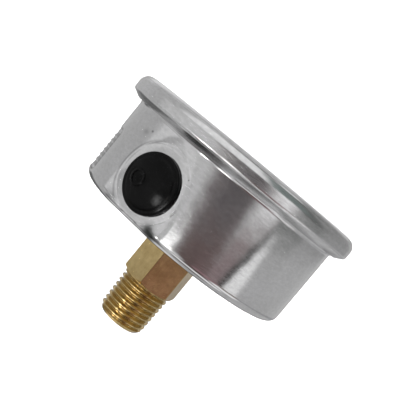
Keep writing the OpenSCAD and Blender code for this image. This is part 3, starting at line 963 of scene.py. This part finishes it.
def make_hub():
    """The cap that presses the pointer on, and the sleeve under it."""
    cap, sleeve = 2.6, 1.98
    outline = [(0, HUB_Z1 - 0.02), (1.0, HUB_Z1 - 0.02), (1.6, HUB_Z1 - 0.08)]
    outline += arc(cap - 0.35, HUB_Z1 - 0.45, 0.35, 75, 0, 6)
    outline += [(cap, POINTER_Z1 + 0.1), (cap - 0.1, POINTER_Z1 + 0.01), (sleeve, POINTER_Z1 + 0.01)]
    outline += [(sleeve, HUB_Z0 + 0.15), (1.85, HUB_Z0), (0.7, HUB_Z0), (0, HUB_Z0)]
    piece = disc_piece("pointer_cap", outline, MATERIALS["pointer_black"], 96)
    finish_piece(piece, "pointer_staff", "pointer_black", "pointer_hub")


make_pointer()
make_hub()


# ------------------------------------------------------------------ studio
def emitter(name, strength):
    """A glowing material, with its node tree and its light node."""
    material = bpy.data.materials.new(name)
    material.use_nodes = True
    tree = material.node_tree
    tree.nodes.clear()
    light = tree.nodes.new("ShaderNodeEmission")
    light.inputs["Strength"].default_value = strength
    output = tree.nodes.new("ShaderNodeOutputMaterial")
    tree.links.new(light.outputs["Emission"], output.inputs["Surface"])
    return material, tree, light


# The studio is a light tent round the gauge, lit in patches. A patch lies between two angles round the
# gauge's axis, from straight up towards +X, and between two lifts towards the stem, with soft edges,
# all in degrees. Its angles may slant or spread with the lift, and the whole studio is turned a little.
# Later patches lie over earlier ones.
TENT_LEVEL = (0.6, 0.6, 0.6)
MIDDLE_LIFT = 5.75
STUDIO_TURN = 2
TENT_PATCHES = [
    # side walls and ceiling
    dict(angles=(119, 178, 14), lifts=(-20, 14, 4), level=(0.58, 0.58, 0.58)),
    dict(angles=(130, 178, 12), lifts=(-20, 14, 4), level=(0.42, 0.42, 0.42)),
    dict(angles=(112, 178, 10), lifts=(14, 70, 4), level=(0.16, 0.16, 0.16)),
    dict(angles=(112, 178, 10), lifts=(-60, -16, 6), level=(0.95, 0.95, 0.95)),
    dict(angles=(-6, 64, 12), lifts=(-12, 12, 3), level=(0.88, 0.88, 0.88)),
    dict(angles=(10, 40, 10), lifts=(12, 22, 3), level=(1.0, 1.0, 1.0)),
    dict(angles=(-2, 60, 16), lifts=(-12, 0.8, 2), level=(0.73, 0.73, 0.73)),
    dict(angles=(-8, 14, 10), lifts=(2, 15, 4), level=(0.74, 0.74, 0.74)),
    # card behind the gauge, mirrored in the bezel's rear cone
    dict(angles=(-100, 68, 20), lifts=(42, 76, 8), level=(0.24, 0.23, 0.23)),
    dict(angles=(-95, 70, 16), lifts=(22, 38, 6), level=(0.8, 0.8, 0.8)),
    dict(angles=(-100, -22, 8), lifts=(44, 57, 3), level=(1.3, 1.3, 1.3)),
    dict(angles=(-24, -4, 6), lifts=(40, 82, 6), level=(0.75, 0.75, 0.75)),
    dict(angles=(60, 170, 15), lifts=(55, 95, 8), level=(1.0, 1.0, 1.0)),
    # right wall low down, in front
    dict(angles=(-172, -80, 14), lifts=(-60, 1.6, 3), level=(0.38, 0.38, 0.38)),
    dict(angles=(-114, -82, 14), lifts=(-60, 1.4, 3), level=(0.185, 0.19, 0.185)),
    # dark card, and the lighter strip beside it
    dict(angles=(-60, -18.5, 13), lifts=(-12, 40, 4), level=(0.22, 0.19, 0.192), slant=-2.1, spread=-0.3),
    dict(angles=(-62, -22, 12), lifts=(5.4, 40, 2), level=(0.175, 0.125, 0.12), slant=-1.6),
    dict(angles=(-50, -22, 12), lifts=(-12, 4.2, 2), level=(0.17, 0.156, 0.16)),
    dict(angles=(-38, -14, 12), lifts=(-12, 1.2, 2), level=(0.12, 0.112, 0.116)),
    dict(angles=(-80, -61, 6), lifts=(-12, 40, 4), level=(0.3, 0.235, 0.238)),
    dict(angles=(-80, -60, 7), lifts=(-12, 5, 2.5), level=(0.4, 0.345, 0.345)),
    dict(angles=(-80, -57, 8), lifts=(-12, 2.8, 1.6), level=(0.58, 0.58, 0.58)),
    dict(angles=(-79, -58, 9), lifts=(-14, 0.9, 1.8), level=(1.35, 1.35, 1.35)),
    # strip light, which is wider at the back, and a narrow dark gap in front of it
    dict(angles=(-95, -80, 6), lifts=(3.2, 34, 2), level=(1.22, 1.22, 1.22), spread=1.2),
    dict(angles=(-82.5, -75.5, 2.5), lifts=(2.8, 16, 2), level=(0.06, 0.06, 0.06), slant=1.4),
    # what the brass faces mirror
    dict(angles=(34, 76, 6), lifts=(9.2, 18, 1.2), level=(0.53, 0.53, 0.53)),
    dict(angles=(-4, 15, 4), lifts=(9.2, 15, 1.2), level=(0.48, 0.48, 0.48)),
    dict(angles=(-76, -46, 6), lifts=(9.2, 20, 1.2), level=(0.4, 0.25, 0.27)),
    dict(angles=(-104, -76, 6), lifts=(9.4, 18, 1.2), level=(0.3, 0.25, 0.23)),
    dict(angles=(-200, -100, 8), lifts=(9.2, 16.5, 1.2), level=(0.43, 0.43, 0.44)),
    # lamps above the stem; the second patch dims the part of the first that the brass mirrors
    dict(angles=(-21, -7, 3), lifts=(8.2, 34, 1.2), level=(3.2, 3.2, 3.2)),
    dict(angles=(-21, -7, 3), lifts=(11, 15.5, 1), level=(1.75, 1.55, 1.25)),
    dict(angles=(7, 14, 3), lifts=(18, 26, 3), level=(23.0, 23.0, 23.0)),
    # in front of the dial
    dict(angles=(-47, 46, 14), lifts=(-74, -15, 5), level=(1.12, 1.12, 1.12)),
    dict(angles=(-96, -50, 8), lifts=(-62, -15, 5), level=(0.24, 0.28, 0.27)),
]


def soft_band(off, half, soft):
    """1 while off is inside the half width, 0 outside, over a soft edge."""
    return 1 - smooth((off - half) / soft + 0.5)


def patch_share(patch, angle, lift):
    """How much of a patch's light a direction gets, 0 to 1."""
    low, high, soft = patch["angles"]
    off_middle = max(-8, min(8, lift - MIDDLE_LIFT))
    centre = (low + high) / 2 + patch.get("slant", 0) * off_middle
    half = (high - low) / 2 + patch.get("spread", 0) * off_middle
    round_off = abs((angle - centre + 180) % 360 - 180)
    bottom, top, lift_soft = patch["lifts"]
    lift_off = abs(lift - (bottom + top) / 2)
    return soft_band(round_off, half, soft) * soft_band(lift_off, (top - bottom) / 2, lift_soft)


def tent_light(direction):
    """Colour of the tent in a direction of the row frame."""
    angle = math.degrees(math.atan2(direction.x, direction.z)) + STUDIO_TURN
    lift = math.degrees(math.asin(max(-1, min(1, direction.y))))
    light = TENT_LEVEL
    for patch in TENT_PATCHES:
        share = patch_share(patch, angle, lift)
        light = [a + (b - a) * share for a, b in zip(light, patch["level"])]
    return light


def make_tent():
    """A glowing sphere round the studio, which the metal mirrors and the camera doesn't see."""
    material, tree, light = emitter("tent light", 1.0)
    colour = tree.nodes.new("ShaderNodeAttribute")
    colour.attribute_name = "tent"
    tree.links.new(colour.outputs["Color"], light.inputs["Color"])
    radius, columns = 1600, 480
    centre = -(BACK_Z + RIM_Z) / 2
    lifts = steps(-89.9, -20, 4) + steps(-18, 34, 0.75) + steps(36, 89.9, 3)
    points, values = [], []
    for lift in lifts:
        flat, up = math.cos(math.radians(lift)), math.sin(math.radians(lift))
        for j in range(columns):
            a = TAU * j / columns
            d = Vector((flat * math.sin(a), up, flat * math.cos(a)))
            points.append((d.x * radius, d.z * radius, -(d.y * radius + centre)))
            values += [*tent_light(d), 1]
    tent = add_mesh("light_tent", points, ring_faces(len(lifts), columns, False), material)
    attribute = tent.data.color_attributes.new("tent", "FLOAT_COLOR", "POINT")
    attribute.data.foreach_set("color", values)
    tent.visible_camera = False
    tent.visible_shadow = False
    material.cycles.emission_sampling = "NONE"


def make_floor():
    """A wide white ground below the gauge, out of sight of the mirrors."""
    material, tree, light = emitter("floor", 0.8)
    diffuse = tree.nodes.new("ShaderNodeBsdfDiffuse")
    diffuse.inputs["Color"].default_value = (0.9, 0.9, 0.9, 1)
    both = tree.nodes.new("ShaderNodeAddShader")
    output = tree.nodes["Material Output"]
    tree.links.new(light.outputs["Emission"], both.inputs[0])
    tree.links.new(diffuse.outputs["BSDF"], both.inputs[1])
    tree.links.new(both.outputs["Shader"], output.inputs["Surface"])
    half, drop = 6000, -180
    points = [(-half, drop, -half), (half, drop, -half), (half, drop, half), (-half, drop, half)]
    floor = add_mesh("floor", points, [(0, 3, 2, 1)], material)
    floor.visible_glossy = False
    material.cycles.emission_sampling = "NONE"


def make_world():
    """Plain white behind everything, which only the camera sees, as it looks through the tent."""
    world = bpy.data.worlds.new("studio")
    bpy.context.scene.world = world
    world.use_nodes = True
    world.node_tree.nodes["Background"].inputs["Color"].default_value = (1, 1, 1, 1)
    world.node_tree.nodes["Background"].inputs["Strength"].default_value = 1.0


make_tent()
make_floor()
make_world()
bpy.context.scene.view_settings.view_transform = "Standard"
